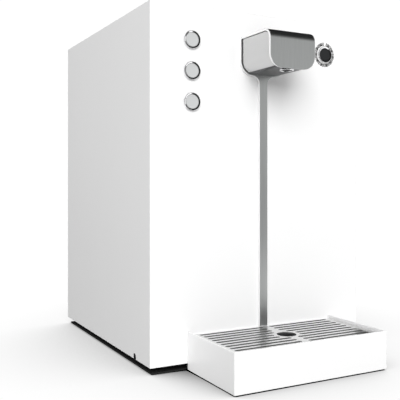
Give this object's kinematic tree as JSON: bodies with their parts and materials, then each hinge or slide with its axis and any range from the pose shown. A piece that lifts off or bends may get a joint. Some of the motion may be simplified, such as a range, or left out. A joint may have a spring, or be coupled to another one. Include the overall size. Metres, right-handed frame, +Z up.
{
  "type": "countertop water dispenser",
  "caption": "Box-shaped countertop water dispenser with a bent steel spout on a vertical strip, round push buttons, an indicator lens and a slotted drip tray.",
  "frame": {"origin": "on the worktop, at the middle of the footprint of cabinet, tray and rear fittings", "axes": "+Z up, the front with the spout and tray faces -Y, +X is to the right of someone who faces the front"},
  "size_m": [0.29, 0.42, 0.4085],
  "materials": {
    "white_paint": "satin white powder coat on steel sheet",
    "brushed_steel": "stainless sheet, fine straight brushing, bright cut edges",
    "satin_shell": "bead-blasted satin, light grey",
    "chrome": "polished",
    "cap_grey": "fine satin, light grey",
    "black_rubber": "matt black rubber",
    "black_plastic": "fine-grained black moulding",
    "black_lens": "polished black lens",
    "grey_plastic": "dark grey moulding",
    "zinc_plate": "zinc-plated steel sheet",
    "stainless": "drawn stainless steel",
    "foam": "closed-cell insulation foam",
    "copper": "drawn copper tube",
    "brass": "machined brass",
    "board_green": "circuit board with solder mask",
    "black_enamel": "black baked enamel"
  },
  "bodies": {
    "root": {"base_mat": "black_rubber", "base_pan": "zinc_plate", "booster_pump": "brass", "button_bezel_1": "chrome", "button_bezel_2": "chrome", "button_bezel_3": "chrome", "button_switch_1": "black_plastic", "button_switch_2": "black_plastic", "button_switch_3": "black_plastic", "carbonator": "stainless", "cold_tank": "stainless", "component_shelf": "zinc_plate", "compressor": "black_enamel", "condenser": "black_enamel", "control_board": "board_green", "evaporator_coil": "copper", "fan_motor": "black_enamel", "fan_shroud": "zinc_plate", "front_panel": "white_paint", "gas_inlet_fitting": "black_plastic", "indicator_bezel": "chrome", "indicator_lamp": "board_green", "indicator_lens": "black_lens", "inlet_hose": "black_plastic", "left_side_panel": "white_paint", "left_side_screw": "black_plastic", "nozzle_body": "chrome", "nozzle_insert": "black_plastic", "outlet_tube": "stainless", "plinth": "black_plastic", "power_inlet": "black_plastic", "power_supply": "zinc_plate", "power_switch_frame": "black_plastic", "pump_motor": "stainless", "rear_panel": "white_paint", "right_side_panel": "white_paint", "right_side_screw": "black_plastic", "solenoid_1": "black_plastic", "solenoid_2": "black_plastic", "solenoid_3": "black_plastic", "spout_fascia": "brushed_steel", "spout_shell": "satin_shell", "tank_insulation": "foam", "tank_lid": "foam", "thermostat_body": "zinc_plate", "top_cover": "white_paint", "valve_manifold": "brass", "water_inlet_fitting": "black_plastic"},
    "tray": {"tray_body": "white_paint", "tray_mat": "black_rubber"},
    "liner": {"tray_liner": "grey_plastic"},
    "grille": {"tray_grille": "brushed_steel"},
    "fan": {"fan_blade": "grey_plastic"},
    "rocker": {"power_rocker": "black_plastic"},
    "knob": {"thermostat_knob": "black_plastic"},
    "button_1": {"button_cap_1": "cap_grey"},
    "button_2": {"button_cap_2": "cap_grey"},
    "button_3": {"button_cap_3": "cap_grey"}
  },
  "joints": [
    {"name": "button_1_press", "type": "slide", "parent": "root", "child": "button_1", "axis": [0, 1, 0], "range_m": [0, 0.0015], "stiffness_N_per_m": 400, "springref_m": -0.001},
    {"name": "button_2_press", "type": "slide", "parent": "root", "child": "button_2", "axis": [0, 1, 0], "range_m": [0, 0.0015], "stiffness_N_per_m": 400, "springref_m": -0.001},
    {"name": "button_3_press", "type": "slide", "parent": "root", "child": "button_3", "axis": [0, 1, 0], "range_m": [0, 0.0015], "stiffness_N_per_m": 400, "springref_m": -0.001},
    {"name": "tray_pull", "type": "slide", "parent": "root", "child": "tray", "axis": [0, -1, 0], "range_m": [0, 0.11]},
    {"name": "liner_lift", "type": "slide", "parent": "tray", "child": "liner", "axis": [0, 0, 1], "range_m": [0, 0.06]},
    {"name": "grille_lift", "type": "slide", "parent": "liner", "child": "grille", "axis": [0, 0, 1], "range_m": [0, 0.05]},
    {"name": "fan_spin", "type": "hinge", "parent": "root", "child": "fan", "pos_m": [0.062, 0.1562, 0.113], "axis": [0, 1, 0], "continuous": true},
    {"name": "rocker_tilt", "type": "hinge", "parent": "root", "child": "rocker", "pos_m": [-0.088, 0.196, 0.088], "axis": [1, 0, 0], "range_deg": [0, 16]},
    {"name": "knob_turn", "type": "hinge", "parent": "root", "child": "knob", "pos_m": [-0.088, 0.198, 0.13], "axis": [0, -1, 0], "range_deg": [0, 270]}
  ]
}
